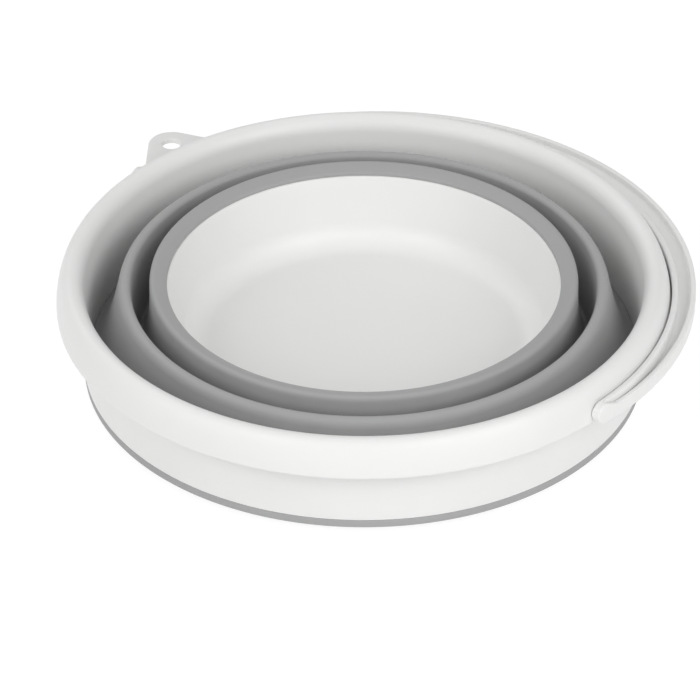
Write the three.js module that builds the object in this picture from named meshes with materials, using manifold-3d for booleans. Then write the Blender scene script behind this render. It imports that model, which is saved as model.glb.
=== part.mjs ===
// A collapsible bucket, folded flat: a rigid rim frame and a rigid base bowl, joined by a soft folding wall,
// and a bail handle that lies around the rim. Millimetres, +Z up, standing on its foot ring at z = 0.

import * as THREE from "three";
import { mergeVertices } from "three/addons/utils/BufferGeometryUtils.js";
import Module from "manifold-3d";

const wasm = await Module();
wasm.setup();

// Overall sizes
const RIM_RADIUS = 150; // lip's outer edge
const HEIGHT = 60; // foot to crest, folded flat
const FIT = 0.3; // gap between pieces that sit on each other
const AXIS_X = -6.5; // the bucket's axis, from the middle of the part's box
const AXIS_Y = -6.8;

// Facets
const TURN_STEPS = 60; // round the bucket
const CURVE_STEPS = 3; // half the facets of a quarter round
const LIP_STEPS = 9; // facets over the lip
const ROD_SIDES = 24;

// Rim frame
const LIP_WIDTH = 9.5; // crest to outer edge
const LIP_DROP = 17.2; // crest down to the lip's widest line
const LIP_EDGE = 1.8; // straight edge below that line
const LIP_WALL = 2.5;
const LIP_FULLNESS = 2.3; // 2 is an ellipse, more is squarer
const LIP_CHAMFER = 0.7;
const POCKET_START = THREE.MathUtils.degToRad(75); // where the pocket's roof leaves the lip's curve
const CREST_ROUND = 4; // width and height of the round-over inside the crest
const CREST_FALL = 10;
const FRAME_WALL = 3;
const FRAME_DRAFT = 1.9; // how far the wall narrows towards its lower edge

// Hanging tab on the frame
const TAB_AZIMUTH = THREE.MathUtils.degToRad(123.9);
const TAB_REACH = 27; // lip edge to the middle of the hole
const TAB_ROUND = 11.8; // radius of its end
const TAB_ROOT = 38; // half its width at the lip edge
const TAB_WALL = 3;
const TAB_DROP = 2.2; // top of the tab below the lip's lower edge
const TAB_RISE = 9; // height of the block that ties it to the lip
const TAB_HOLE_RADIUS = 4.8;

// Handle and its pivots
const HINGE_AZIMUTH = THREE.MathUtils.degToRad(-42.3);
const HANDLE_GAP = 0.6; // lip edge to the handle
const HANDLE_LIFT = 2.3; // top of the tab to the handle
const HANDLE_HEIGHT = 11; // at the inner rib, and across the rounded ends
const HANDLE_GRIP = 15.7; // width at the middle
const HANDLE_END = 4.6; // width at the pivots
const HANDLE_CHAMFER = 0.8;
const RIB_INNER = 2.9;
const RIB_OUTER = 2.6;
const RIB_STEP = 3.4; // outer rib below the inner rib
const RIB_STEP_START = THREE.MathUtils.degToRad(4); // from the hinge axis
const CHANNEL_DEPTH = 2.6; // below the outer rib
const CHANNEL_START = THREE.MathUtils.degToRad(11);
const HANDLE_STEPS = 44;
const PEG_RADIUS = 3.2;
const PEG_REACH = 7.4; // past the handle's inner face
const PEG_CLEARANCE = 0.3;
const BOSS_WALL = 2.5;

// Folding wall
const BAND_LIFT = 4.1; // band's lower face above the floor
const BAND_HEIGHT = 4.2;
const BAND_SETBACK = 0.2; // band's outer face behind the frame's
const FOLD_WALL = 2.2;
const FOLD_ROOT = 18.1; // height of both lower fold lines
const UPPER_RUN = 14; // how far each web leans in
const LOWER_RUN = 5.3;
const UPPER_HOLLOW = 3; // where each web turns up from its root: outside its top, and above its root
const LOWER_HOLLOW = 0.3;
const HOLLOW_RISE = 6;
const HEAD_DROP = 6.9; // crest down to the middle ring's rounded head
const HEAD_WIDTH = 6.4;
const HEAD_HEIGHT = 5.5;
const HEAD_ROUND = 2.3; // rounding on the head's inner side
const HEAD_LEAN = 0.7; // how far its outer side leans in
const PANEL_WALL = 2.5; // middle ring's upright panel
const PANEL_LEAN = 3;
const TROUGH_DEPTH = 3.5; // middle ring's foot
const TROUGH_GAP = 1.1; // panel to the lower web
const TROUGH_CHAMFER = 1.2;
const COLLAR_DROP = 3; // crest down to the base collar's outer edge
const COLLAR_WIDTH = 8.5;
const COLLAR_INNER = 1.3; // collar's height at its inner and outer edges
const COLLAR_OUTER = 4.7;
const COLLAR_ROUND = 3.4;

// Base bowl
const BASE_WALL = 2.5;
const BASE_LEDGE = 0.5; // bowl's mouth inside the collar
const FLANGE_EDGE = 0.5; // flange's edge inside the lower web
const FLANGE_WALL = 2.7;
const FLOOR_TOP = 17.1;
const FLOOR_ROUND_RISE = 11; // fillet between floor and wall
const FLOOR_ROUND_RUN = 13;
const BOWL_TAPER = 6.9; // how far the wall leans in above the fillet
const FOOT_WALL = 2.4;
const FOOT_LEAN = 1.9;

// Colours
const WHITE = 0xededec;
const GREY = 0xa4a4a4;

const polar = (radius, angle) => new THREE.Vector2(radius * Math.cos(angle), radius * Math.sin(angle));

// Turns a half-section, drawn as radius and height, about the bucket's axis.
function turned(section) {
  const outline = section.getPoints(CURVE_STEPS);
  const geometry = new THREE.LatheGeometry(outline, TURN_STEPS);
  return geometry.rotateX(Math.PI / 2);
}

function solid(geometry) {
  const bare = geometry.clone();
  bare.deleteAttribute("normal");
  bare.deleteAttribute("uv");
  const merged = mergeVertices(bare);
  const vertProperties = merged.attributes.position.array;
  const triVerts = new Uint32Array(merged.index.array);
  return new wasm.Manifold(new wasm.Mesh({ numProp: 3, vertProperties, triVerts }));
}

function geometryOf(shape) {
  const mesh = shape.getMesh();
  const geometry = new THREE.BufferGeometry();
  geometry.setAttribute("position", new THREE.BufferAttribute(mesh.vertProperties, 3));
  geometry.setIndex(new THREE.BufferAttribute(mesh.triVerts, 1));
  geometry.computeVertexNormals();
  return geometry;
}

// A round rod along X between two places on the hinge axis.
function rod(radius, from, to, height) {
  const geometry = new THREE.CylinderGeometry(radius, radius, to - from, ROD_SIDES);
  geometry.rotateZ(Math.PI / 2);
  return geometry.translate((from + to) / 2, 0, height);
}

function plate(outline, bottom, thickness) {
  const geometry = new THREE.ExtrudeGeometry(outline, {
    depth: thickness,
    curveSegments: 2 * CURVE_STEPS,
    bevelEnabled: false,
  });
  return geometry.translate(0, 0, bottom);
}

// Radii and heights that several pieces share
const crestRadius = RIM_RADIUS - LIP_WIDTH;
const lipLine = HEIGHT - LIP_DROP;
const lipBottom = lipLine - LIP_EDGE;
const frameBottom = BAND_LIFT + BAND_HEIGHT + FIT;
const wallTop = HEIGHT - CREST_FALL;
const innerTop = crestRadius - CREST_ROUND;
const innerBottom = innerTop - FRAME_DRAFT;
const tabTop = lipBottom - TAB_DROP;
const tabBottom = tabTop - TAB_WALL;
const handleBottom = tabTop + HANDLE_LIFT;
const hingeHeight = handleBottom + HANDLE_HEIGHT / 2;
const handleInner = RIM_RADIUS + HANDLE_GAP;
const pegTip = handleInner - PEG_REACH;
const socketRadius = PEG_RADIUS + PEG_CLEARANCE;

const upperRootOuter = innerBottom - FIT;
const upperRootInner = upperRootOuter - FOLD_WALL;
const headTop = HEIGHT - HEAD_DROP;
const headUnderside = headTop - HEAD_HEIGHT;
const headOuter = upperRootOuter - UPPER_RUN;
const headInner = headOuter - HEAD_WIDTH;
const panelBottom = headInner - PANEL_LEAN;
const lowerRootOuter = panelBottom - TROUGH_GAP;
const lowerRootInner = lowerRootOuter - FOLD_WALL;
const collarOuter = lowerRootOuter - LOWER_RUN;
const collarInner = collarOuter - COLLAR_WIDTH;
const collarTop = HEIGHT - COLLAR_DROP;
const collarBottom = collarTop - COLLAR_OUTER;
const lowerTopInner = collarOuter - FOLD_WALL;

// The frame's wall and rolled lip, with the open pocket under the lip
function frameRing() {
  const pocketHeight = LIP_DROP - LIP_WALL;
  const pocketWidth = LIP_WIDTH - LIP_WALL;
  const section = new THREE.Path();
  section.moveTo(innerBottom + FRAME_WALL, frameBottom);
  section.lineTo(innerTop + FRAME_WALL, HEIGHT - 2 * LIP_WALL);
  section.absellipse(crestRadius, lipLine, pocketWidth, pocketHeight, POCKET_START, 0, true);
  section.lineTo(RIM_RADIUS - LIP_WALL, lipBottom);
  section.lineTo(RIM_RADIUS - LIP_CHAMFER, lipBottom);
  section.lineTo(RIM_RADIUS, lipBottom + LIP_CHAMFER);
  for (let step = 0; step <= LIP_STEPS; step += 1) {
    const along = ((step / LIP_STEPS) * Math.PI) / 2;
    const out = Math.cos(along) ** (2 / LIP_FULLNESS);
    const up = Math.sin(along) ** (2 / LIP_FULLNESS);
    section.lineTo(crestRadius + LIP_WIDTH * out, lipLine + LIP_DROP * up);
  }
  section.absellipse(crestRadius, wallTop, CREST_ROUND, CREST_FALL, Math.PI / 2, Math.PI, false);
  section.lineTo(innerBottom, frameBottom);
  section.closePath();
  return solid(turned(section));
}

// The tab's plate: an arc in the wall, straight flanks and a round end about the hole
function tabPlate() {
  const wallMiddle = innerBottom + FRAME_WALL / 2;
  const holeAt = RIM_RADIUS + TAB_REACH;
  const rootAngle = Math.asin(TAB_ROOT / RIM_RADIUS);
  const root = polar(RIM_RADIUS, rootAngle);
  const run = holeAt - root.x;
  const flankAngle = Math.PI - Math.atan2(root.y, run) - Math.acos(TAB_ROUND / Math.hypot(run, root.y));
  const outline = new THREE.Shape();
  outline.absarc(0, 0, wallMiddle, rootAngle, -rootAngle, true);
  outline.lineTo(root.x, -root.y);
  outline.absarc(holeAt, 0, TAB_ROUND, -flankAngle, flankAngle, false);
  outline.lineTo(root.x, root.y);
  outline.closePath();
  const hole = new THREE.Path();
  hole.absarc(holeAt, 0, TAB_HOLE_RADIUS, 0, 2 * Math.PI, true);
  outline.holes.push(hole);
  return plate(outline, tabBottom, TAB_WALL);
}

// The block inside the lip's pocket that carries the tab
function tabBlock() {
  const rootAngle = Math.asin(TAB_ROOT / RIM_RADIUS);
  const outline = new THREE.Shape();
  outline.absarc(0, 0, innerBottom + FRAME_WALL / 2, rootAngle, -rootAngle, true);
  outline.absarc(0, 0, RIM_RADIUS - LIP_WALL / 2, -rootAngle, rootAngle, false);
  outline.closePath();
  return plate(outline, tabBottom + FIT, TAB_RISE);
}

function rimFrame() {
  let frame = frameRing();
  for (const piece of [tabPlate(), tabBlock()]) {
    frame = frame.add(solid(piece.rotateZ(TAB_AZIMUTH)));
  }
  for (const side of [HINGE_AZIMUTH, HINGE_AZIMUTH + Math.PI]) {
    const bossRadius = socketRadius + BOSS_WALL;
    const boss = rod(bossRadius, innerTop + FRAME_WALL / 2, RIM_RADIUS - LIP_WALL / 2, hingeHeight);
    const socket = rod(socketRadius, pegTip - PEG_CLEARANCE, handleInner, hingeHeight);
    frame = frame.add(solid(boss.rotateZ(side)));
    frame = frame.subtract(solid(socket.rotateZ(side)));
  }
  return geometryOf(frame);
}

// The handle's outer edge is a circle set off towards its middle, so the handle tapers to its ends.
const gripRadius = handleInner + HANDLE_GRIP;
const endRadius = handleInner + HANDLE_END;
const outerShift = (gripRadius - endRadius ** 2 / gripRadius) / 2;
const outerRound = gripRadius - outerShift;
const outerEdge = (angle) =>
  outerShift * Math.sin(angle) + Math.sqrt(outerRound ** 2 - (outerShift * Math.cos(angle)) ** 2);

// A crescent between two edges given as a radius at each angle
function crescent(inner, outer, from, to) {
  const angles = Array.from({ length: HANDLE_STEPS + 1 }, (_, i) => from + ((to - from) * i) / HANDLE_STEPS);
  const outside = angles.map((angle) => polar(outer(angle), angle));
  const inside = angles.map((angle) => polar(inner(angle), angle)).reverse();
  return new THREE.Shape([...outside, ...inside]);
}

function chamfered(outline, thickness) {
  return new THREE.ExtrudeGeometry(outline, {
    depth: thickness - 2 * HANDLE_CHAMFER,
    curveSegments: 2 * CURVE_STEPS,
    bevelThickness: HANDLE_CHAMFER,
    bevelSize: HANDLE_CHAMFER,
    bevelOffset: -HANDLE_CHAMFER,
    bevelSegments: 1,
  }).translate(0, 0, HANDLE_CHAMFER);
}

// The flat tail that ends the handle, rounded about its pivot
function handleTail() {
  const half = HANDLE_HEIGHT / 2;
  const outline = new THREE.Shape();
  outline.moveTo(2 * HANDLE_CHAMFER, -half);
  outline.lineTo(2 * HANDLE_CHAMFER, half);
  outline.absarc(0, 0, half, Math.PI / 2, 1.5 * Math.PI, false);
  outline.closePath();
  const tail = chamfered(outline, HANDLE_END);
  tail.rotateX(Math.PI / 2);
  tail.rotateZ(Math.PI / 2);
  return tail.translate(handleInner, 0, hingeHeight);
}

function bailHandle() {
  const strap = chamfered(crescent(() => handleInner, outerEdge, 0, Math.PI), HANDLE_HEIGHT);
  let handle = solid(strap.translate(0, 0, handleBottom));
  const ribEdge = () => handleInner + RIB_INNER;
  const channelOuter = (angle) => outerEdge(angle) - RIB_OUTER;
  const clearOfStrap = () => gripRadius + HANDLE_CHAMFER;
  const step = crescent(ribEdge, clearOfStrap, RIB_STEP_START, Math.PI - RIB_STEP_START);
  const stepHeight = handleBottom + HANDLE_HEIGHT - RIB_STEP;
  handle = handle.subtract(solid(plate(step, stepHeight, 2 * RIB_STEP)));
  const channel = crescent(ribEdge, channelOuter, CHANNEL_START, Math.PI - CHANNEL_START);
  for (const bottom of [stepHeight - CHANNEL_DEPTH, handleBottom - CHANNEL_DEPTH]) {
    handle = handle.subtract(solid(plate(channel, bottom, 2 * CHANNEL_DEPTH)));
  }
  const across = 2 * handleInner + HANDLE_END;
  const pegRoot = handleInner + HANDLE_END / 2;
  const nearTail = handleTail();
  const farTail = nearTail.clone().translate(-across, 0, 0);
  const nearPeg = rod(PEG_RADIUS, pegTip, pegRoot, hingeHeight);
  const farPeg = rod(PEG_RADIUS, -pegRoot, -pegTip, hingeHeight);
  for (const piece of [nearTail, farTail, nearPeg, farPeg]) {
    handle = handle.add(solid(piece));
  }
  return geometryOf(handle);
}

// The band grips the frame's lower edge from below and inside.
function edgeBand() {
  const bandTop = BAND_LIFT + BAND_HEIGHT;
  const section = new THREE.Path();
  section.moveTo(upperRootInner, BAND_LIFT);
  section.lineTo(innerBottom + FRAME_WALL - BAND_SETBACK, BAND_LIFT);
  section.lineTo(innerBottom + FRAME_WALL - BAND_SETBACK, bandTop);
  section.lineTo(upperRootOuter, bandTop);
  section.lineTo(upperRootOuter, FOLD_ROOT);
  section.lineTo(upperRootInner, FOLD_ROOT);
  section.closePath();
  return turned(section);
}

// A soft web that leans in from its root and turns up towards its top
function foldWeb(rootOuter, run, hollow, top) {
  const topOuter = rootOuter - run;
  const turnAt = topOuter + hollow;
  const turnHeight = FOLD_ROOT + HOLLOW_RISE;
  const section = new THREE.Path();
  section.moveTo(rootOuter - FOLD_WALL, FOLD_ROOT + FIT);
  section.lineTo(rootOuter, FOLD_ROOT + FIT);
  section.quadraticCurveTo(turnAt, turnHeight, topOuter, top - FIT);
  section.lineTo(topOuter - FOLD_WALL, top - FIT);
  section.quadraticCurveTo(turnAt - FOLD_WALL, turnHeight, rootOuter - FOLD_WALL, FOLD_ROOT + FIT);
  return turned(section);
}

function middleRing() {
  const troughBottom = FOLD_ROOT - TROUGH_DEPTH;
  const section = new THREE.Path();
  section.moveTo(lowerRootInner, troughBottom);
  section.lineTo(panelBottom + PANEL_WALL - TROUGH_CHAMFER, troughBottom);
  section.lineTo(panelBottom + PANEL_WALL, troughBottom + TROUGH_CHAMFER);
  section.lineTo(headInner + PANEL_WALL, headUnderside);
  section.lineTo(headOuter, headUnderside);
  section.quadraticCurveTo(headOuter - HEAD_LEAN, headTop, headInner + HEAD_ROUND, headTop);
  section.absarc(headInner + HEAD_ROUND, headTop - HEAD_ROUND, HEAD_ROUND, Math.PI / 2, Math.PI, false);
  section.lineTo(panelBottom, FOLD_ROOT + TROUGH_CHAMFER);
  section.lineTo(panelBottom - TROUGH_GAP, FOLD_ROOT);
  section.lineTo(lowerRootInner, FOLD_ROOT);
  section.closePath();
  return turned(section);
}

function baseCollar() {
  const innerTop = collarBottom + COLLAR_INNER;
  const section = new THREE.Path();
  section.moveTo(collarInner, collarBottom);
  section.lineTo(collarOuter, collarBottom);
  section.lineTo(collarOuter, collarTop - COLLAR_ROUND);
  section.quadraticCurveTo(collarOuter, collarTop, collarOuter - COLLAR_ROUND, collarTop);
  section.lineTo(collarInner + COLLAR_INNER / 2, innerTop);
  section.quadraticCurveTo(collarInner, innerTop, collarInner, innerTop - COLLAR_INNER / 2);
  section.closePath();
  return turned(section);
}

function baseBowl() {
  const flangeTop = collarBottom - FIT;
  const mouth = collarInner - BASE_LEDGE;
  const filletTop = mouth - BOWL_TAPER;
  const filletHeight = FLOOR_TOP + FLOOR_ROUND_RISE;
  const floorEdge = filletTop - FLOOR_ROUND_RUN;
  const wallSlope = BOWL_TAPER / (flangeTop - filletHeight);
  const filletCorner = filletTop - wallSlope * FLOOR_ROUND_RISE;
  const underside = FLOOR_TOP - BASE_WALL;
  const footOuter = filletTop + BASE_WALL / 2 - FOOT_LEAN;
  const footInner = footOuter - FOOT_WALL;
  const section = new THREE.Path();
  section.moveTo(0, underside);
  section.lineTo(footInner, underside);
  section.lineTo(footInner, 0);
  section.lineTo(footOuter, 0);
  section.lineTo(filletTop + BASE_WALL, filletHeight - BASE_WALL / 2);
  section.lineTo(mouth + BASE_WALL, flangeTop - FLANGE_WALL);
  section.lineTo(lowerTopInner - FLANGE_EDGE, flangeTop - FLANGE_WALL);
  section.lineTo(lowerTopInner - FLANGE_EDGE, flangeTop);
  section.lineTo(mouth, flangeTop);
  section.lineTo(filletTop, filletHeight);
  section.quadraticCurveTo(filletCorner, FLOOR_TOP, floorEdge, FLOOR_TOP);
  section.lineTo(0, FLOOR_TOP);
  return turned(section);
}

const polypropylene = { color: WHITE, roughness: 0.42, metalness: 0 };
const softRubber = { color: GREY, roughness: 0.78, metalness: 0 };

const bucket = new THREE.Group();
bucket.position.set(AXIS_X, AXIS_Y, 0);

function addPiece(name, geometry, finish) {
  const mesh = new THREE.Mesh(geometry, new THREE.MeshStandardMaterial(finish));
  mesh.name = name;
  bucket.add(mesh);
  return mesh;
}

addPiece("rim_frame", rimFrame(), polypropylene);
addPiece("edge_band", edgeBand(), softRubber);
addPiece("upper_fold", foldWeb(upperRootOuter, UPPER_RUN, UPPER_HOLLOW, headUnderside), softRubber);
addPiece("middle_ring", middleRing(), softRubber);
addPiece("lower_fold", foldWeb(lowerRootOuter, LOWER_RUN, LOWER_HOLLOW, collarBottom), softRubber);
addPiece("base_collar", baseCollar(), softRubber);
addPiece("base_bowl", baseBowl(), polypropylene);
addPiece("handle", bailHandle(), polypropylene).rotation.z = HINGE_AZIMUTH;

export default bucket;
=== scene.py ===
"""Dresses a folded collapsible bucket in smooth, finished mouldings and sets it in a plain studio."""

import math

import bmesh
import bpy
from bpy.props import FloatProperty, IntProperty, PointerProperty, StringProperty
from mathutils import Matrix, Vector
from mathutils.geometry import interpolate_bezier


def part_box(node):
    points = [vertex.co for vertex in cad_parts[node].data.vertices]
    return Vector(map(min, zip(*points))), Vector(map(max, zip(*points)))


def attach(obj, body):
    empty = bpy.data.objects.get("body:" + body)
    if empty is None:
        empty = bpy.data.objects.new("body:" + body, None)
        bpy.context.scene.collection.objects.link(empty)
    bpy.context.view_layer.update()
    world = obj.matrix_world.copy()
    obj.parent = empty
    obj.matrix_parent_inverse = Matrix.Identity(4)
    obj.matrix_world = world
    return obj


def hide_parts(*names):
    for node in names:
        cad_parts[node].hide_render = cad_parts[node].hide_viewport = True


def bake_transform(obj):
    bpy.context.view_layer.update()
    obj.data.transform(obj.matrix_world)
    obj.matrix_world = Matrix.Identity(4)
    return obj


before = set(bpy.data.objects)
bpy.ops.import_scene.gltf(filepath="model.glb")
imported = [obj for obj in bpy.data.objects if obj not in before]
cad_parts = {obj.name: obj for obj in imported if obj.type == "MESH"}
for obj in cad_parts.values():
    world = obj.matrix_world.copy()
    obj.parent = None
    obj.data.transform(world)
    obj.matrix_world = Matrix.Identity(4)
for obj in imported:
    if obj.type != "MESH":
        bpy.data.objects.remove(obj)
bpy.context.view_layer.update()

bl_info = {
    "name": "Collapsible bucket",
    "version": (1, 0, 0),
    "blender": (4, 5, 0),
    "location": "View3D > Sidebar > Bucket",
    "description": "Builds a folded bucket's mouldings over its packed frame, with finishes and a studio",
    "category": "Object",
}

MM = 0.001
MERGE = 0.004 * MM
QUARTER_TURN = math.pi / 2

# Edges are shaded sharp past the first angle and count as corners past the second, both in radians.
SHARP_ANGLE = math.radians(38)
CORNER_ANGLE = 1.2

# A rounding that takes up a whole corner stops just short of it, so that its end points stay apart.
NEARLY = 0.999
# A bend with this pull is a plain parabola, and one with more turns sharper.
EVEN_PULL = 2 / 3

# Places and sizes in the studio, in metres, and the camera's sensor in millimetres.
RIGHT_SOFTBOX = (1.5, -1.8, 1.6)
LEFT_SOFTBOX = (-1.5, -1.8, 1.6)
BACK_SOFTBOX = (-1.5, 1.6, 1.7)
SOFTBOX_SIZE = 1.8
FLOOR_SIZE = 6
FLOOR_DROP = 0.1 * MM
SENSOR_WIDTH = 36
WHITE_LIGHT = (1, 1, 1, 1)

# The bucket's axis runs through the middle of its base.
BASE_LOW, BASE_HIGH = (Vector(corner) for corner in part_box("base_bowl"))
AXIS = Vector(((BASE_LOW.x + BASE_HIGH.x) / 2, (BASE_LOW.y + BASE_HIGH.y) / 2, 0))
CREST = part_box("rim_frame")[1][2]


def length(name, description, millimetres):
    """A length property with its default in millimetres."""
    return FloatProperty(
        name=name, description=description, default=millimetres * MM, unit="LENGTH", precision=4)


def angle(name, description, degrees):
    """An angle property with its default in degrees."""
    return FloatProperty(
        name=name, description=description, default=math.radians(degrees), subtype="ANGLE")


def number(name, description, value):
    """A plain number property."""
    return FloatProperty(name=name, description=description, default=value)


def count(name, description, value, least):
    """A whole number property with its least value."""
    return IntProperty(name=name, description=description, default=value, min=least)


def tint(name, description, value):
    """A colour property that holds an sRGB hex value."""
    return StringProperty(name=name, description=f"{description}, as an sRGB hex value", default=value)


class BucketDetail(bpy.types.PropertyGroup):
    """How finely the mouldings are drawn."""

    turn_steps: count("Turn steps", "Facets round the bucket", 192, 24)
    round_steps: count("Round steps", "Facets in a small rounding", 4, 1)
    curve_steps: count("Curve steps", "Facets in a large curve", 20, 4)
    web_cuts: count("Web cuts", "Cuts along a folding web", 28, 4)
    rod_steps: count("Rod steps", "Facets round a boss, a socket or a peg", 40, 8)
    peg_steps: count("Peg steps", "Facets in the rounding of a peg", 3, 1)
    tail_steps: count("Tail steps", "Facets in the rounding of a handle tail", 12, 4)


class RimFrameSizes(bpy.types.PropertyGroup):
    """Sizes of the rim frame and its hanging tab."""

    rim_radius: length("Rim radius", "Axis to the lip's outer edge", 150)
    lip_width: length("Lip width", "Crest to the lip's outer edge", 7.2)
    lip_drop: length("Lip drop", "Crest down to the lip's widest line", 17.2)
    lip_edge: length("Lip edge", "Straight edge under the lip's widest line", 1.8)
    lip_wall: length("Lip wall", "Thickness of the lip", 2.5)
    lip_fullness: number("Lip fullness", "2 is an ellipse, more is squarer", 2.0)
    lip_round: length("Lip rounding", "Rounding along the lip's lower edge", 1.1)
    crest_round: length("Crest rounding", "Width of the rounding inside the crest", 6.5)
    crest_fall: length("Crest fall", "Height of that rounding", 8.5)
    lean: length("Lean", "How far the wall leans in below the crest", 1.7)
    lean_drop: length("Lean drop", "Crest down to the foot of that lean", 26)
    wall: length("Wall", "Thickness of the upright wall", 3)
    draft: length("Draft", "How far the wall narrows towards its lower edge", 0.1)
    pocket_root: length("Pocket root", "Axis to the wall's outside under the lip", 140)
    bottom: length("Lower edge", "Height of the wall's lower edge", 8.6)
    edge_round: length("Edge rounding", "Rounding along the wall's lower edge", 0.4)
    tab_azimuth: angle("Tab direction", "Direction of the hanging tab from +X", 123.9)
    tab_reach: length("Tab reach", "Lip edge to the middle of the tab's hole", 27)
    tab_round: length("Tab end", "Radius of the tab's end", 11.8)
    tab_root: length("Tab root", "Half the tab's width at the lip edge", 38)
    tab_wall: length("Tab wall", "Thickness of the tab", 3)
    tab_top: length("Tab top", "Height of the tab's upper face", 38.8)
    tab_hole: length("Tab hole", "Radius of the tab's hole", 4.8)
    tab_edge: length("Tab edge", "Rounding along the tab's edges", 0.6)
    boss_radius: length("Boss radius", "Outside of a pivot boss", 6)
    socket_radius: length("Socket radius", "Bore of a pivot boss", 3.5)
    socket_floor: length("Socket floor", "Axis to the blind end of a socket", 142.9)


class HandleSizes(bpy.types.PropertyGroup):
    """Sizes of the bail handle."""

    hinge_azimuth: angle("Hinge direction", "Direction of the hinge line from +X", -42.3)
    inner_radius: length("Inner radius", "Axis to the handle's inner face", 150.12)
    bottom: length("Lower face", "Height of the handle's lower face", 41.1)
    height: length("Height", "Height of the inner rib and across the rounded ends", 11)
    grip: length("Grip width", "Width of the strap at its middle", 15.7)
    end: length("End width", "Width of the strap at the pivots", 4.6)
    rib_inner: length("Inner rib", "Width of the rib next to the rim", 2.9)
    rib_outer: length("Outer rib", "Width of the rib on the outside", 2.6)
    rib_step: length("Rib step", "Height of the outer rib below the inner rib", 3.4)
    step_start: angle("Step start", "Where the step starts, from the hinge line", 0)
    step_full: angle("Step full", "Where the step reaches its height", 3)
    channel: length("Channel", "Depth of the upper channel below the outer rib", 3.4)
    hollow: length("Hollow", "Depth of the channel underneath", 2.6)
    channel_start: angle("Channel start", "Where the channel starts, from the hinge line", 0.5)
    channel_full: angle("Channel full", "Where the channel reaches its depth", 8)
    edge_round: length("Edge rounding", "Rounding along the strap's edges", 0.8)
    peg_radius: length("Peg radius", "Radius of a pivot peg", 3.2)
    peg_tip: length("Peg tip", "Axis to the tip of a peg", 143.2)
    rib_share: number("Rib share", "Share of a narrow end that both ribs fill", 0.92)
    tip_share: number("Tip share", "Height of a tail's tip as a share of the handle's", 0.04)
    steps: count("Steps", "Facets along the handle", 132, 24)


class FoldingWallSizes(bpy.types.PropertyGroup):
    """Sizes of the soft folding wall."""

    band_low: length("Band bottom", "Height of the band's lower face", 4.1)
    band_top: length("Band top", "Height where the band meets the frame's wall", 8.5)
    band_radius: length("Band radius", "Axis to the band's outer face", 137.4)
    band_heel: length("Band heel", "Rounding along the band's inner lower edge", 1)
    band_edge: length("Band edge", "Rounding along the band's outer lower edge", 0.9)
    band_lip: length("Band lip", "Rounding along the band's upper edge", 0.25)
    band_corner: length("Band corner", "Rounding where the band turns up inside the wall", 0.2)
    web: length("Web", "Thickness of the folding webs", 2.2)
    fold_height: length("Fold height", "Height of the lower web's fold line", 18.1)
    upper_fold: length("Upper fold", "Height of the upper web's fold line", 14.1)
    upper_root: length("Upper root", "Axis to the outside of the upper web's root", 134.3)
    head_radius: length("Head radius", "Axis to the outside of the middle ring's head", 120.3)
    head_width: length("Head width", "Width of the middle ring's rounded head", 6.4)
    head_low: length("Head bottom", "Height of the head's underside", 47.6)
    head_top: length("Head top", "Height of the head's top", 53.1)
    head_round: length("Head rounding", "Rounding on the head's inner side", 2.3)
    head_lean: length("Head lean", "How far the head's outer side leans in", 0.7)
    upper_hollow: length("Upper hollow", "Where the upper web turns up, outside its top", 7)
    lower_hollow: length("Lower hollow", "Where the lower web turns up, outside its top", 0.3)
    upper_rise: length("Upper rise", "Where the upper web turns up, above its root", 4)
    upper_pull: number("Upper pull", "How sharply the upper web turns up", 0.85)
    lower_rise: length("Lower rise", "Where the lower web turns up, above its root", 6)
    panel: length("Panel", "Thickness of the middle ring's panel", 2.5)
    panel_lean: length("Panel lean", "How far the panel leans in", 3)
    trough: length("Trough", "Height of the middle ring's foot", 3.5)
    trough_gap: length("Trough gap", "Panel to the lower web", 1.1)
    trough_floor: length("Trough floor", "Foot of the panel above the lower fold line", 1.2)
    trough_round: length("Trough rounding", "Rounding at the foot of the panel", 0.6)
    foot_heel: length("Foot heel", "Rounding along the foot's inner edge", 0.8)
    foot_edge: length("Foot edge", "Rounding along the foot's outer edge", 1.6)
    head_root: length("Head root", "Rounding where the panel meets the head", 1)
    collar_radius: length("Collar radius", "Axis to the outside of the base collar", 104.5)
    collar_width: length("Collar width", "Width of the base collar", 8.5)
    collar_low: length("Collar bottom", "Height of the collar's underside", 51.7)
    collar_inner: length("Collar inner top", "Height of the collar's inner edge", 53.6)
    collar_outer: length("Collar outer top", "Height of the collar's outer edge", 57)
    collar_round: length("Collar rounding", "Rounding along the collar's outer edge", 3.4)
    collar_brim: length("Collar brim", "Rounding along the collar's inner edge", 0.8)
    collar_seat: length("Collar seat", "Rounding along the collar's lower inner edge", 0.2)


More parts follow.
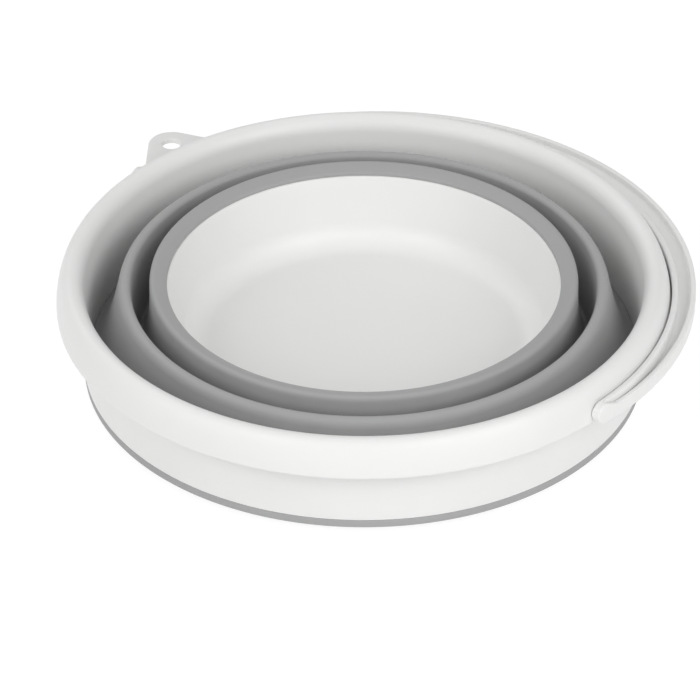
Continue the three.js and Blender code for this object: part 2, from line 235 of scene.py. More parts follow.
class BaseBowlSizes(bpy.types.PropertyGroup):
    """Sizes of the base bowl."""

    wall: length("Wall", "Thickness of the bowl", 2.5)
    mouth: length("Mouth", "Axis to the bowl's mouth", 95.5)
    flange_radius: length("Flange radius", "Axis to the edge of the flange", 101.8)
    flange_top: length("Flange top", "Height of the flange's upper face", 51.7)
    flange_wall: length("Flange wall", "Thickness of the flange", 2.7)
    floor_top: length("Floor", "Height of the floor's upper face", 17.1)
    fillet_rise: length("Fillet rise", "Height of the fillet between floor and wall", 13)
    fillet_run: length("Fillet run", "Width of that fillet", 13)
    taper: length("Taper", "How far the wall leans in above the fillet", 6.9)
    foot_wall: length("Foot wall", "Thickness of the foot ring", 2.4)
    foot_lean: length("Foot lean", "How far the foot ring leans in", 1.9)
    foot_round: length("Foot rounding", "Rounding along the foot ring's edges", 0.5)
    foot_root: length("Foot root", "Rounding where the foot ring meets the floor", 3)
    wall_round: length("Wall rounding", "Rounding outside the foot of the wall", 2)
    flange_root: length("Flange root", "Rounding under the flange", 1.5)
    flange_edge: length("Flange edge", "Rounding along the flange's lower edge", 0.4)
    flange_brim: length("Flange brim", "Rounding along the flange's upper edge", 0.2)
    mouth_round: length("Mouth rounding", "Rounding along the bowl's mouth", 0.8)


class BucketFinishes(bpy.types.PropertyGroup):
    """Colours of the mouldings and the studio."""

    white: tint("White", "White polypropylene", "#E9E9E8")
    grey: tint("Grey", "Grey soft rubber", "#A1A1A1")
    floor: tint("Floor", "Studio floor", "#F0F0F0")


class StudioSettings(bpy.types.PropertyGroup):
    """Camera and light."""

    elevation: angle("Elevation", "How far above level the camera stands", 34.65)
    distance: length("Distance", "Camera to the bucket", 2500)
    aim_height: length("Aim height", "Height of the point on the axis that the camera aims at", 4.1)
    lens: number("Lens", "Focal length in millimetres", 260.84)
    shift_x: number("Shift X", "Sideways lens shift", -0.0198)
    shift_y: number("Shift Y", "Upward lens shift", 0.0173)
    dome: number("Dome", "Strength of the even light from all round", 0.41)
    right: number("Right", "Power of the softbox on the right, in watts", 34)
    left: number("Left", "Power of the softbox on the left, in watts", 25)
    back: number("Back", "Power of the softbox behind, in watts", 12)
    table_glow: number("Table glow", "Strength of the light table", 1.12)
    table_share: number("Table share", "Share of glow in the light table's surface", 0.4)
    table_seen: number("Table seen", "Share added to that where the table is seen directly", 0.4)


def linear(hex_colour):
    """Linear RGBA of an sRGB hex value."""
    channels = [int(hex_colour[i:i + 2], 16) / 255 for i in (1, 3, 5)]
    return [c / 12.92 if c <= 0.04045 else ((c + 0.055) / 1.055) ** 2.4 for c in channels] + [1]


def shade(hex_colour, factor):
    """A hex value with its brightness changed by a factor."""
    channels = [min(255, round(int(hex_colour[i:i + 2], 16) * factor)) for i in (1, 3, 5)]
    return "#" + "".join(f"{c:02X}" for c in channels)


def add_node(tree, kind, inputs, **settings):
    """Adds a node, sets its values and links the sockets that are given as inputs."""
    node = tree.nodes.new(kind)
    for name, value in settings.items():
        setattr(node, name, value)
    for name, value in inputs.items():
        if isinstance(value, bpy.types.NodeSocket):
            tree.links.new(value, node.inputs[name])
        else:
            node.inputs[name].default_value = value
    return node


def new_material(name):
    material = bpy.data.materials.new(name)
    material.use_nodes = True
    material.node_tree.nodes.clear()
    return material, material.node_tree


def seen_directly(tree):
    """A socket that is 1 for camera, glossy and transmission rays, and 0 for all others."""
    path = add_node(tree, "ShaderNodeLightPath", {})
    seen = add_node(
        tree, "ShaderNodeMath", {0: path.outputs["Is Camera Ray"], 1: path.outputs["Is Glossy Ray"]},
        operation="MAXIMUM")
    shown = add_node(
        tree, "ShaderNodeMath", {0: seen.outputs["Value"], 1: path.outputs["Is Transmission Ray"]},
        operation="MAXIMUM")
    return shown.outputs["Value"]


def noise(tree, place, size, detail):
    """Noise in patches of about a given size."""
    node = add_node(tree, "ShaderNodeTexNoise", {"Vector": place, "Scale": 1 / size, "Detail": detail})
    return node.outputs["Fac"]


def drifting_tone(tree, pattern, colour, darkest, lightest):
    """A colour that drifts between two shades of itself."""
    node = add_node(
        tree, "ShaderNodeMix", {
            "Factor": pattern,
            "A": linear(shade(colour, darkest)),
            "B": linear(shade(colour, lightest)),
        }, data_type="RGBA")
    return node.outputs["Result"]


def drifting_gloss(tree, pattern, smoothest, roughest):
    """A roughness that drifts between two values."""
    node = add_node(
        tree, "ShaderNodeMapRange", {
            "Value": pattern,
            "From Min": 0.3,
            "From Max": 0.7,
            "To Min": smoothest,
            "To Max": roughest,
        })
    return node.outputs["Result"]


def grain_normal(tree, grain, strength, depth):
    """A surface direction that follows a fine grain."""
    node = add_node(tree, "ShaderNodeBump", {"Height": grain, "Strength": strength, "Distance": depth})
    return node.outputs["Normal"]


def white_polypropylene(colour):
    """Injection-moulded polypropylene: satin, faintly waxy, with a fine grain from the sparked tool."""
    material, tree = new_material("moulded_polypropylene_white")
    place = add_node(tree, "ShaderNodeTexCoord", {}).outputs["Object"]

    # The melt cools unevenly, so the colour drifts by a shade over about 70 mm.
    drift = noise(tree, place, size=70 * MM, detail=2.0)
    tone = drifting_tone(tree, drift, colour, darkest=0.985, lightest=1.008)

    # Handling leaves the satin a little smoother in patches of about 25 mm.
    patch = noise(tree, place, size=25 * MM, detail=4.0)
    gloss = drifting_gloss(tree, patch, smoothest=0.38, roughest=0.5)

    # The sparked grain is about 0.2 mm and too fine to show, so it is drawn at 0.9 mm.
    grain = noise(tree, place, size=0.9 * MM, detail=2.0)
    normal = grain_normal(tree, grain, strength=0.12, depth=0.04 * MM)

    surface = add_node(
        tree, "ShaderNodeBsdfPrincipled", {
            "Base Color": tone,
            "Roughness": gloss,
            "IOR": 1.49,
            "Normal": normal,
            "Subsurface Weight": 0.12,
            "Subsurface Radius": (1.0, 1.0, 0.95),
            "Subsurface Scale": 1.5 * MM,
        })
    add_node(tree, "ShaderNodeOutputMaterial", {"Surface": surface.outputs["BSDF"]})
    return material


def grey_soft_rubber(colour):
    """Overmoulded thermoplastic rubber: matt, with a dry bloom that lightens it in soft patches."""
    material, tree = new_material("overmoulded_rubber_grey")
    place = add_node(tree, "ShaderNodeTexCoord", {}).outputs["Object"]

    # The bloom lies in patches of about 18 mm.
    bloom = noise(tree, place, size=18 * MM, detail=3.0)
    tone = drifting_tone(tree, bloom, colour, darkest=0.975, lightest=1.025)
    gloss = drifting_gloss(tree, bloom, smoothest=0.6, roughest=0.74)

    # The blasted tool leaves a grain of about 0.3 mm, drawn at 0.8 mm so that it shows.
    grain = noise(tree, place, size=0.8 * MM, detail=3.0)
    normal = grain_normal(tree, grain, strength=0.2, depth=0.06 * MM)

    surface = add_node(
        tree, "ShaderNodeBsdfPrincipled", {
            "Base Color": tone,
            "Roughness": gloss,
            "IOR": 1.51,
            "Normal": normal,
            "Sheen Weight": 0.08,
            "Sheen Roughness": 0.5,
        })
    add_node(tree, "ShaderNodeOutputMaterial", {"Surface": surface.outputs["BSDF"]})
    return material


def rounded(bm, items, offset, affect, segments):
    """Rounds vertices or edges off."""
    bmesh.ops.bevel(
        bm, geom=items, offset=offset, offset_type="OFFSET", affect=affect,
        segments=segments, profile=0.5, material=-1)


def outline(bm, corners, closed=True):
    """Draws a half-section from corners of radius, height and rounding, and rounds them."""
    rounding_steps = bpy.context.scene.bucket_detail.round_steps
    verts = [bm.verts.new((corner[0], 0, corner[1])) for corner in corners]
    pairs = list(zip(verts, verts[1:]))
    if closed:
        pairs.append((verts[-1], verts[0]))
    for pair in pairs:
        bm.edges.new(pair)
    for vert, corner in zip(verts, corners):
        if len(corner) == 3:
            rounded(bm, [vert], corner[2], "VERTICES", rounding_steps)


def bend(start, control, end, steps, pull=EVEN_PULL):
    """Places of radius and height along a curve that heads for a control point and turns to its end."""
    first, middle, last = (Vector((*place, 0)) for place in (start, control, end))
    handles = first.lerp(middle, pull), last.lerp(middle, pull)
    points = interpolate_bezier(first, *handles, last, steps + 1)
    return [(point.x, point.y) for point in points]


def sweep(bm, start, centre, swing, widen=1.0, fullness=2.0):
    """Draws a quarter round in a half-section by turning a point, filled out and widened."""
    before = set(bm.verts)
    first = bm.verts.new((start[0], 0, start[1]))
    middle = Vector((centre[0], 0, centre[1]))
    bmesh.ops.spin(
        bm, geom=[first], cent=middle, axis=(0, 1, 0), angle=swing,
        steps=bpy.context.scene.bucket_detail.curve_steps)
    drawn = [vert for vert in bm.verts if vert not in before]
    for vert in drawn:
        arm = vert.co - middle
        aim = arm.normalized()
        spread = abs(aim.x) ** fullness + abs(aim.z) ** fullness
        vert.co = middle + arm / spread ** (1 / fullness)
    bmesh.ops.scale(bm, verts=drawn, vec=(widen, 1, 1), space=Matrix.Translation(-middle))


def turn(bm):
    """Spins the half-section in a bmesh once round the bucket."""
    bmesh.ops.remove_doubles(bm, verts=bm.verts, dist=MERGE)
    bmesh.ops.spin(
        bm, geom=bm.verts[:] + bm.edges[:], cent=(0, 0, 0), axis=(0, 0, 1), angle=2 * math.pi,
        steps=bpy.context.scene.bucket_detail.turn_steps, use_merge=True)


def to_object(name, bm):
    """Closes a bmesh drawn about the origin into a smooth object about the bucket's axis."""
    bmesh.ops.remove_doubles(bm, verts=bm.verts, dist=MERGE)
    bmesh.ops.recalc_face_normals(bm, faces=bm.faces)
    bmesh.ops.translate(bm, verts=bm.verts, vec=AXIS)
    mesh = bpy.data.meshes.new(name)
    bm.to_mesh(mesh)
    bm.free()
    mesh.shade_smooth()
    mesh.set_sharp_from_angle(angle=SHARP_ANGLE)
    made = bpy.data.objects.new(name, mesh)
    bpy.context.scene.collection.objects.link(made)
    if any(not polygon.area for polygon in mesh.polygons):
        raise RuntimeError(f"{name} has a face without area")
    return made


def combine(piece, tool, operation):
    """Joins a tool to a piece or cuts it out, and removes the tool."""
    step = piece.modifiers.new("combine", "BOOLEAN")
    step.operation = operation
    step.solver = "EXACT"
    step.object = tool
    evaluated = piece.evaluated_get(bpy.context.evaluated_depsgraph_get())
    mesh = bpy.data.meshes.new_from_object(evaluated)
    piece.modifiers.clear()
    piece.data = mesh
    bpy.data.objects.remove(tool)
    mesh.shade_smooth()
    mesh.set_sharp_from_angle(angle=SHARP_ANGLE)


def finish(piece, slot, nodes):
    """Gives a piece its finish and hides the nodes that it stands for."""
    colours = bpy.context.scene.bucket_finishes
    made = bpy.data.materials
    if slot == "white_polypropylene":
        material = made.get("moulded_polypropylene_white") or white_polypropylene(colours.white)
    else:
        material = made.get("overmoulded_rubber_grey") or grey_soft_rubber(colours.grey)
    piece.data.materials.clear()
    piece.data.materials.append(material)
    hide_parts(*nodes)


def hinge_rod(radius, near, far, height):
    """A bmesh rod along +X between two distances from the axis."""
    bm = bmesh.new()
    place = Matrix.Translation(((near + far) / 2, 0, height)) @ Matrix.Rotation(QUARTER_TURN, 4, "Y")
    bmesh.ops.create_cone(
        bm, cap_ends=True, segments=bpy.context.scene.bucket_detail.rod_steps,
        radius1=radius, radius2=radius, depth=far - near, matrix=place)
    return bm


def turned_about_axis(bm, azimuth):
    """Turns a bmesh about the bucket's axis."""
    bmesh.ops.rotate(bm, verts=bm.verts, cent=(0, 0, 0), matrix=Matrix.Rotation(azimuth, 3, "Z"))
    return bm


class BUCKET_OT_studio(bpy.types.Operator):
    """Sets up the camera, the floor and the soft light"""

    bl_idname = "bucket.studio"
    bl_label = "Studio"
    bl_options = {"REGISTER", "UNDO"}

    def execute(self, context):
        scene = context.scene
        s = scene.bucket_studio
        scene.view_settings.view_transform = "Standard"
        self.camera(scene, s)
        self.world(scene, s)
        self.floor(scene, s)
        self.lamp("right_softbox", s.right, RIGHT_SOFTBOX)
        self.lamp("left_softbox", s.left, LEFT_SOFTBOX)
        self.lamp("back_softbox", s.back, BACK_SOFTBOX)
        return {"FINISHED"}

    def camera(self, scene, s):
        data = bpy.data.cameras.new("camera")
        data.sensor_width = SENSOR_WIDTH
        data.lens = s.lens
        data.shift_x = s.shift_x
        data.shift_y = s.shift_y
        camera = bpy.data.objects.new("camera", data)
        aim = AXIS + Vector((0, 0, s.aim_height))
        back = Vector((0, -math.cos(s.elevation), math.sin(s.elevation)))
        camera.location = aim + s.distance * back
        camera.rotation_euler = (QUARTER_TURN - s.elevation, 0, 0)
        scene.collection.objects.link(camera)
        scene.camera = camera

    def world(self, scene, s):
        world = bpy.data.worlds.new("studio")
        world.use_nodes = True
        tree = world.node_tree
        tree.nodes.clear()
        dome = add_node(tree, "ShaderNodeBackground", {"Color": WHITE_LIGHT, "Strength": s.dome})
        white = add_node(tree, "ShaderNodeBackground", {"Color": WHITE_LIGHT, "Strength": 1.0})
        mixed = add_node(
            tree, "ShaderNodeMixShader", {
                0: seen_directly(tree),
                1: dome.outputs["Background"],
                2: white.outputs["Background"],
            })
        add_node(tree, "ShaderNodeOutputWorld", {"Surface": mixed.outputs["Shader"]})
        scene.world = world

    def floor(self, scene, s):
        bm = bmesh.new()
        bmesh.ops.create_grid(bm, x_segments=1, y_segments=1, size=FLOOR_SIZE)
        mesh = bpy.data.meshes.new("studio_floor")
        bm.to_mesh(mesh)
        bm.free()
        floor = bpy.data.objects.new("studio_floor", mesh)
        floor.location.z = -FLOOR_DROP
        scene.collection.objects.link(floor)

        # Light table: it glows, and the camera sees it nearly white, with part of the shadow left in.
        material, tree = new_material("light_table")
        share = add_node(
            tree, "ShaderNodeMath", {0: seen_directly(tree), 1: s.table_seen, 2: s.table_share},
            operation="MULTIPLY_ADD")
        paint = add_node(tree, "ShaderNodeBsdfDiffuse", {"Color": linear(scene.bucket_finishes.floor)})
        white = add_node(tree, "ShaderNodeEmission", {"Color": WHITE_LIGHT, "Strength": s.table_glow})
        mixed = add_node(
            tree, "ShaderNodeMixShader", {
                0: share.outputs["Value"],
                1: paint.outputs["BSDF"],
                2: white.outputs["Emission"],
            })
        add_node(tree, "ShaderNodeOutputMaterial", {"Surface": mixed.outputs["Shader"]})
        mesh.materials.append(material)

    def lamp(self, name, power, place):
        data = bpy.data.lights.new(name, "AREA")
        data.shape = "RECTANGLE"
        data.size = SOFTBOX_SIZE
        data.size_y = SOFTBOX_SIZE
        data.energy = power
        lamp = bpy.data.objects.new(name, data)
        lamp.location = place
        lamp.rotation_euler = (AXIS - Vector(place)).to_track_quat("-Z", "Y").to_euler()
        bpy.context.scene.collection.objects.link(lamp)


class BUCKET_OT_rim_frame(bpy.types.Operator):
    """Builds the rim frame with its rolled lip and pivots, and the hanging tab"""

    bl_idname = "bucket.rim_frame"
    bl_label = "Rim frame"
    bl_options = {"REGISTER", "UNDO"}

    def execute(self, context):
        s = context.scene.bucket_rim_frame
        hinge = context.scene.bucket_handle
        pivot_height = hinge.bottom + hinge.height / 2
        shell = self.shell(s)
        wall_middle = s.pocket_root - s.wall / 2
        for azimuth in (hinge.hinge_azimuth, hinge.hinge_azimuth + math.pi):
            boss = hinge_rod(s.boss_radius, wall_middle, s.rim_radius - s.lip_wall / 2, pivot_height)
            combine(shell, to_object("boss", turned_about_axis(boss, azimuth)), "UNION")
            socket = hinge_rod(s.socket_radius, s.socket_floor, s.rim_radius + s.lip_wall, pivot_height)
            combine(shell, to_object("socket", turned_about_axis(socket, azimuth)), "DIFFERENCE")
        finish(shell, "white_polypropylene", ["rim_frame"])
        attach(shell, "frame")
        tab = self.tab(s)
        finish(tab, "white_polypropylene", ["rim_frame"])
        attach(tab, "frame")
        return {"FINISHED"}

    def shell(self, s):
        crest = s.rim_radius - s.lip_width
        lip_line = CREST - s.lip_drop
        lip_bottom = lip_line - s.lip_edge
        pocket_inner = s.rim_radius - s.lip_wall
        inner_top = crest - s.crest_round
        lean_foot = inner_top - s.lean
        inner_bottom = lean_foot - s.draft
        pocket_top = CREST - s.lip_wall
        bm = bmesh.new()
        outline(bm, [
            (inner_top, CREST - s.crest_fall),
            (lean_foot, CREST - s.lean_drop, s.lean_drop / 3),
            (inner_bottom, s.bottom, s.edge_round),
            (inner_bottom + s.wall, s.bottom, s.edge_round),
            (s.pocket_root, pocket_top - s.lip_wall, s.lip_wall / 2),
            (crest, pocket_top),
        ], closed=False)
        outline(bm, [
            (pocket_inner, lip_line),
            (pocket_inner, lip_bottom, s.lip_round),
            (s.rim_radius, lip_bottom, s.lip_round),
            (s.rim_radius, lip_line),
        ], closed=False)
        lip_share = s.lip_width / s.lip_drop
        pocket_share = (s.lip_width - s.lip_wall) / (s.lip_drop - s.lip_wall)
        crest_share = s.crest_round / s.crest_fall
        sweep(bm, (crest, CREST), (crest, lip_line), QUARTER_TURN, lip_share, s.lip_fullness)
        sweep(bm, (crest, pocket_top), (crest, lip_line), QUARTER_TURN, pocket_share)
        sweep(bm, (crest, CREST), (crest, CREST - s.crest_fall), -QUARTER_TURN, crest_share)
        turn(bm)
        return to_object("rim_frame_shell", bm)

    def tab(self, s):
        steps = bpy.context.scene.bucket_detail
        hole_at = s.rim_radius + s.tab_reach
        tip = hole_at + s.tab_round
        root_x = math.sqrt(s.rim_radius ** 2 - s.tab_root ** 2)
        run = hole_at - root_x
        lean = math.atan2(s.tab_root, run) - math.asin(s.tab_round / math.hypot(run, s.tab_root))
        corner = s.tab_root - (tip - root_x) * math.tan(lean)
        buried = s.pocket_root - s.wall
        bottom = s.tab_top - s.tab_wall
        bm = bmesh.new()
        places = [(buried, s.tab_root), (root_x, s.tab_root), (tip, corner)]
        places += [(x, -y) for x, y in reversed(places)]
        verts = [bm.verts.new((x, y, bottom)) for x, y in places]
        for pair in zip(verts, verts[1:] + verts[:1]):
            bm.edges.new(pair)
        for vert in verts[2:4]:
            rounded(bm, [vert], NEARLY * corner, "VERTICES", steps.curve_steps)
        bmesh.ops.create_circle(
            bm, segments=2 * steps.curve_steps, radius=s.tab_hole,
            matrix=Matrix.Translation((hole_at, 0, bottom)))
        bmesh.ops.triangle_fill(bm, use_beauty=True, edges=bm.edges[:])
        raised = bmesh.ops.extrude_face_region(bm, geom=bm.faces[:], use_keep_orig=True)["geom"]
        lifted = [item for item in raised if isinstance(item, bmesh.types.BMVert)]
        bmesh.ops.translate(bm, verts=lifted, vec=(0, 0, s.tab_wall))
        bmesh.ops.recalc_face_normals(bm, faces=bm.faces)
        shared = [edge for edge in bm.edges if edge.is_manifold]
        corners = [edge for edge in shared if edge.calc_face_angle() > CORNER_ANGLE]
        level = [edge for edge in corners if abs(edge.verts[0].co.z - edge.verts[1].co.z) < MERGE]
        rounded(bm, level, s.tab_edge, "EDGES", steps.round_steps)
        return to_object("hanging_tab", turned_about_axis(bm, s.tab_azimuth))


class BUCKET_OT_handle(bpy.types.Operator):
    """Builds the bail handle, its channels, its rounded tails and its pivot pegs"""

    bl_idname = "bucket.handle"
    bl_label = "Handle"
    bl_options = {"REGISTER", "UNDO"}

    def execute(self, context):
        s = context.scene.bucket_handle
        strap = self.strap(s)
        finish(strap, "white_polypropylene", ["handle"])
        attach(strap, "bail")
        for side, azimuth in (("near", s.hinge_azimuth), ("far", s.hinge_azimuth + math.pi)):
            peg = hinge_rod(s.peg_radius, s.peg_tip, s.inner_radius + s.end / 2, s.bottom + s.height / 2)
            rim = [edge for edge in peg.edges if edge.calc_face_angle() > CORNER_ANGLE]
            rounded(peg, rim, s.edge_round / 2, "EDGES", context.scene.bucket_detail.peg_steps)
            made = to_object(f"pivot_peg_{side}", turned_about_axis(peg, azimuth))
            finish(made, "white_polypropylene", ["handle"])
            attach(made, "bail")
        return {"FINISHED"}

    def strap(self, s):
        top = s.bottom + s.height
        outer_top = top - s.rib_step
        inner = s.inner_radius
        outer = inner + s.grip
        bm = bmesh.new()
        section = [
            (inner, s.bottom),
            (inner + s.rib_inner, s.bottom),
            (inner + s.rib_inner, s.bottom + s.hollow),
            (outer - s.rib_outer, s.bottom + s.hollow),
            (outer - s.rib_outer, s.bottom),
            (outer, s.bottom),
            (outer, outer_top),
            (outer - s.rib_outer, outer_top),
            (outer - s.rib_outer, outer_top - s.channel),
            (inner + s.rib_inner, outer_top - s.channel),
            (inner + s.rib_inner, top),
            (inner, top),
        ]
        outline(bm, [(radius, height, s.edge_round) for radius, height in section])
        bmesh.ops.spin(
            bm, geom=bm.verts[:] + bm.edges[:], cent=(0, 0, 0), axis=(0, 0, 1),
            angle=math.pi, steps=s.steps)
        for vert in bm.verts:
            self.taper(s, vert)
        bmesh.ops.remove_doubles(bm, verts=bm.verts, dist=MERGE)
        open_edges = [edge for edge in bm.edges if edge.is_boundary]
        ends = bmesh.ops.edgeloop_fill(bm, edges=open_edges)["faces"]
        self.grow_tails(s, bm, ends)
        return to_object("bail_handle", turned_about_axis(bm, s.hinge_azimuth))

    def taper(self, s, vert):
        """Narrows the strap towards its ends and lets the channels run out there."""
        around = math.atan2(vert.co.y, vert.co.x)
        grip_radius = s.inner_radius + s.grip
        end_radius = s.inner_radius + s.end
        shift = (grip_radius - end_radius ** 2 / grip_radius) / 2
        round_radius = grip_radius - shift
        edge = shift * math.sin(around) + math.sqrt(round_radius ** 2 - (shift * math.cos(around)) ** 2)
        width = edge - s.inner_radius
        ribs = s.rib_inner + s.rib_outer
        narrow = min(1, s.rib_share * width / ribs)
        across = vert.co.xy.length - s.inner_radius
        left = s.rib_inner
        right = s.grip - s.rib_outer
        if across <= left:
            placed = across * narrow
        elif across >= right:
            placed = width - (s.grip - across) * narrow
        else:
            start = left * narrow
            finish_at = width - s.rib_outer * narrow
            placed = start + (finish_at - start) * (across - left) / (right - left)
        vert.co.xy *= (s.inner_radius + placed) / vert.co.xy.length

        from_hinge = min(around, math.pi - around)
        stepped = self.eased((from_hinge - s.step_start) / (s.step_full - s.step_start))
        sunken = self.eased((from_hinge - s.channel_start) / (s.channel_full - s.channel_start))
        top = s.bottom + s.height
        web_middle = (top - s.rib_step - s.channel + s.bottom + s.hollow) / 2
        in_channel = left - s.edge_round <= across <= right + s.edge_round
        if vert.co.z > web_middle and across > right + s.edge_round:
            vert.co.z += s.rib_step * (1 - stepped)
        elif vert.co.z > web_middle and in_channel:
            down = top - vert.co.z
            step = min(down, s.rib_step)
            vert.co.z = top - step * stepped - (down - step) * sunken
        elif in_channel:
            vert.co.z = s.bottom + (vert.co.z - s.bottom) * sunken

    def eased(self, share):
        share = min(1, max(0, share))
        return share * share * (3 - 2 * share)

    def grow_tails(self, s, bm, faces):
        """Rounds the strap's ends off about the pivots."""
        half = s.height / 2
        middle = Matrix.Translation((0, 0, -(s.bottom + half)))
        turns = bpy.context.scene.bucket_detail.tail_steps
        angles = [i / turns * QUARTER_TURN for i in range(1, turns)]
        stops = [(half * math.sin(around), math.cos(around)) for around in angles]
        stops.append((half, s.tip_share))
        reached, tall = 0, 1
        for reach, height in stops:
            grown = bmesh.ops.extrude_face_region(bm, geom=faces)["geom"]
            bmesh.ops.delete(bm, geom=faces, context="FACES_ONLY")
            verts = [item for item in grown if isinstance(item, bmesh.types.BMVert)]
            faces = [item for item in grown if isinstance(item, bmesh.types.BMFace)]
            bmesh.ops.translate(bm, verts=verts, vec=(0, reached - reach, 0))
            bmesh.ops.scale(bm, verts=verts, vec=(1, 1, height / tall), space=middle)
            reached, tall = reach, height


class BUCKET_OT_folding_wall(bpy.types.Operator):
    """Builds the soft folding wall: band, two webs, middle ring and base collar"""

    bl_idname = "bucket.folding_wall"
    bl_label = "Folding wall"
    bl_options = {"REGISTER", "UNDO"}

    def execute(self, context):
        s = context.scene.bucket_folding_wall
        band = self.band(s)
        finish(band, "grey_soft_rubber", ["edge_band"])
        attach(band, "frame")
        ring = self.ring(s)
        finish(ring, "grey_soft_rubber", ["middle_ring"])
        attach(ring, "middle")
        collar = self.collar(s)
        finish(collar, "grey_soft_rubber", ["base_collar"])
        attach(collar, "base")

        root = s.upper_fold
        turn_up = (s.head_radius + s.upper_hollow, root + s.upper_rise)
        head_foot = (s.head_radius, s.head_low)
        upper = self.web(s, "upper_web", (s.upper_root, root), turn_up, head_foot, s.upper_pull)
        finish(upper, "grey_soft_rubber", ["upper_fold"])
        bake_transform(upper)
        root = s.fold_height
        ring_root = s.head_radius - s.head_width - s.panel_lean - s.trough_gap
        turn_up = (s.collar_radius + s.lower_hollow, root + s.lower_rise)
        collar_foot = (s.collar_radius, s.collar_low)
        lower = self.web(s, "lower_web", (ring_root, root), turn_up, collar_foot, EVEN_PULL)
        finish(lower, "grey_soft_rubber", ["lower_fold"])
        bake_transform(lower)
        return {"FINISHED"}

    def band(self, s):
        inner = s.upper_root - s.web
        bm = bmesh.new()
        outline(bm, [
            (inner, s.band_low, s.band_heel),
            (s.band_radius, s.band_low, s.band_edge),
            (s.band_radius, s.band_top, s.band_lip),
            (s.upper_root, s.band_top, s.band_corner),
            (s.upper_root, s.upper_fold),
            (inner, s.upper_fold),
        ])
        turn(bm)
        return to_object("edge_band_rubber", bm)

    def web(self, s, name, root, turn_up, top, pull):
        """A web that leans in from its root and turns up towards its top."""
        cuts = bpy.context.scene.bucket_detail.web_cuts
        outside = bend(root, turn_up, top, cuts, pull)
        inside = [(radius - s.web, height) for radius, height in reversed(outside)]
        bm = bmesh.new()
        outline(bm, outside + inside)
        turn(bm)
        return to_object(name, bm)

    def ring(self, s):
        head_inner = s.head_radius - s.head_width
        panel_bottom = head_inner - s.panel_lean
        root = panel_bottom - s.trough_gap
        foot = s.fold_height - s.trough
        head = bend(
            (s.head_radius, s.head_low), (s.head_radius - s.head_lean, s.head_top),
            (head_inner + s.head_round, s.head_top), bpy.context.scene.bucket_detail.curve_steps)
        bm = bmesh.new()
        outline(bm, [
            (root - s.web, foot, s.foot_heel),
            (panel_bottom + s.panel, foot, s.foot_edge),
            (head_inner + s.panel, s.head_low, s.head_root),
            *head,
            (head_inner, s.head_top, NEARLY * s.head_round),
            (panel_bottom, s.fold_height + s.trough_floor, s.trough_round),
            (root, s.fold_height),
            (root - s.web, s.fold_height),
        ])
        turn(bm)
        return to_object("middle_ring_rubber", bm)

    def collar(self, s):
        inner = s.collar_radius - s.collar_width
        bm = bmesh.new()
        outline(bm, [
            (inner, s.collar_low, s.collar_seat),
            (s.collar_radius, s.collar_low),
            (s.collar_radius, s.collar_outer, s.collar_round),
            (inner, s.collar_inner, s.collar_brim),
        ])
        turn(bm)
        return to_object("base_collar_rubber", bm)


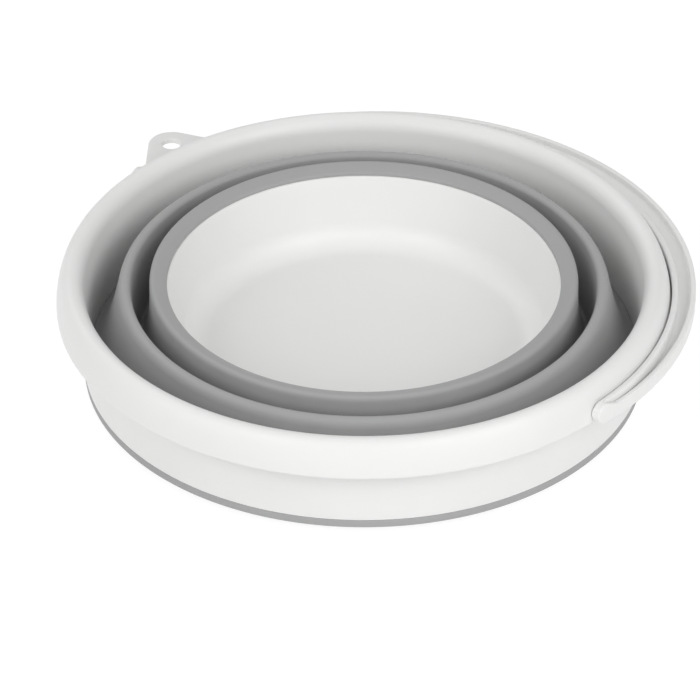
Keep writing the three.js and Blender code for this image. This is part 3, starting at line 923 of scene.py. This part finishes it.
class BUCKET_OT_base_bowl(bpy.types.Operator):
    """Builds the base bowl with its raised floor, foot ring and flange"""

    bl_idname = "bucket.base_bowl"
    bl_label = "Base bowl"
    bl_options = {"REGISTER", "UNDO"}

    def execute(self, context):
        s = context.scene.bucket_base_bowl
        bowl = self.bowl(s)
        finish(bowl, "white_polypropylene", ["base_bowl"])
        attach(bowl, "base")
        return {"FINISHED"}

    def bowl(self, s):
        fillet_top = s.mouth - s.taper
        fillet_height = s.floor_top + s.fillet_rise
        floor_edge = fillet_top - s.fillet_run
        underside = s.floor_top - s.wall
        foot_outer = fillet_top + s.wall / 2 - s.foot_lean
        foot_inner = foot_outer - s.foot_wall
        flange_low = s.flange_top - s.flange_wall
        bm = bmesh.new()
        outline(bm, [
            (0, underside),
            (foot_inner, underside, s.foot_root),
            (foot_inner, 0, s.foot_round),
            (foot_outer, 0, s.foot_round),
            (fillet_top + s.wall, fillet_height - s.wall / 2, s.wall_round),
            (s.mouth + s.wall, flange_low, s.flange_root),
            (s.flange_radius, flange_low, s.flange_edge),
            (s.flange_radius, s.flange_top, s.flange_brim),
            (s.mouth, s.flange_top, s.mouth_round),
            (fillet_top, fillet_height),
        ], closed=False)
        fillet_share = s.fillet_run / s.fillet_rise
        sweep(bm, (floor_edge, s.floor_top), (floor_edge, fillet_height), -QUARTER_TURN, fillet_share)
        outline(bm, [(floor_edge, s.floor_top), (0, s.floor_top)], closed=False)
        turn(bm)
        return to_object("base_bowl_shell", bm)


class BUCKET_PT_panel(bpy.types.Panel):
    """Lists the bucket's pieces and their sizes"""

    bl_idname = "BUCKET_PT_panel"
    bl_label = "Collapsible bucket"
    bl_space_type = "VIEW_3D"
    bl_region_type = "UI"
    bl_category = "Bucket"

    def draw(self, context):
        groups = (
            (BUCKET_OT_studio, "bucket_studio"),
            (BUCKET_OT_rim_frame, "bucket_rim_frame"),
            (BUCKET_OT_handle, "bucket_handle"),
            (BUCKET_OT_folding_wall, "bucket_folding_wall"),
            (BUCKET_OT_base_bowl, "bucket_base_bowl"),
            (None, "bucket_finishes"),
            (None, "bucket_detail"),
        )
        for operator, group in groups:
            box = self.layout.box()
            if operator:
                box.operator(operator.bl_idname)
            settings = getattr(context.scene, group)
            for name in settings.__annotations__:
                box.prop(settings, name)


GROUPS = {
    "bucket_detail": BucketDetail,
    "bucket_rim_frame": RimFrameSizes,
    "bucket_handle": HandleSizes,
    "bucket_folding_wall": FoldingWallSizes,
    "bucket_base_bowl": BaseBowlSizes,
    "bucket_finishes": BucketFinishes,
    "bucket_studio": StudioSettings,
}

OPERATORS = (
    BUCKET_OT_studio,
    BUCKET_OT_rim_frame,
    BUCKET_OT_handle,
    BUCKET_OT_folding_wall,
    BUCKET_OT_base_bowl,
)


def register():
    for name, group in GROUPS.items():
        bpy.utils.register_class(group)
        setattr(bpy.types.Scene, name, PointerProperty(type=group))
    for operator in OPERATORS:
        bpy.utils.register_class(operator)
    bpy.utils.register_class(BUCKET_PT_panel)


def unregister():
    bpy.utils.unregister_class(BUCKET_PT_panel)
    for operator in reversed(OPERATORS):
        bpy.utils.unregister_class(operator)
    for name, group in reversed(GROUPS.items()):
        delattr(bpy.types.Scene, name)
        bpy.utils.unregister_class(group)


def main():
    register()
    bpy.ops.bucket.studio()
    bpy.ops.bucket.rim_frame()
    bpy.ops.bucket.handle()
    bpy.ops.bucket.folding_wall()
    bpy.ops.bucket.base_bowl()


if __name__ == "__main__":
    main()
